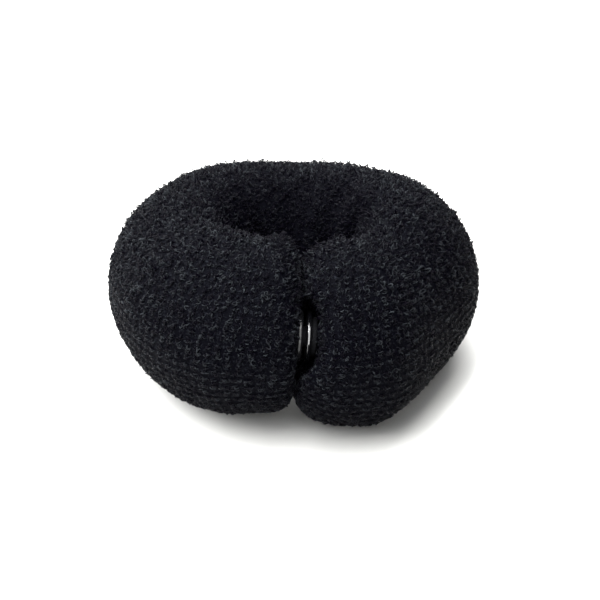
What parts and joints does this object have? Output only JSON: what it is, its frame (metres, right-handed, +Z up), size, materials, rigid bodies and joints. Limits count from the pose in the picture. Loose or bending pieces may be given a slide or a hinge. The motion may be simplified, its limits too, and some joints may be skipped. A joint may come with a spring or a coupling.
{
  "type": "hair donut bun maker",
  "caption": "Padded roll of black looped knit bent into a ring, its ends closed by a press stud at the front, with an oval hole for the hair.",
  "frame": {"origin": "bottom centre of the bounding box, on the surface that the ring rests on; the hole's axis is 1.1 mm to the right of it and 1.1 mm in front of it", "axes": "+Z up through the hole, the seam with the press stud at the front on -Y, +X to the right seen from the front"},
  "size_m": [0.093, 0.0951, 0.0479],
  "materials": {
    "knit": "looped knit with a soft sheen",
    "filling": "matt soft filling",
    "stud_plastic": "moulded, glossy",
    "socket_plastic": "moulded, glossy",
    "rivet_plastic": "moulded, satin"
  },
  "bodies": {
    "root": {"cover": "knit", "filling": "filling", "snap_stud": "stud_plastic", "snap_socket": "socket_plastic", "stud_rivet": "rivet_plastic", "socket_rivet": "rivet_plastic"}
  },
  "joints": []
}
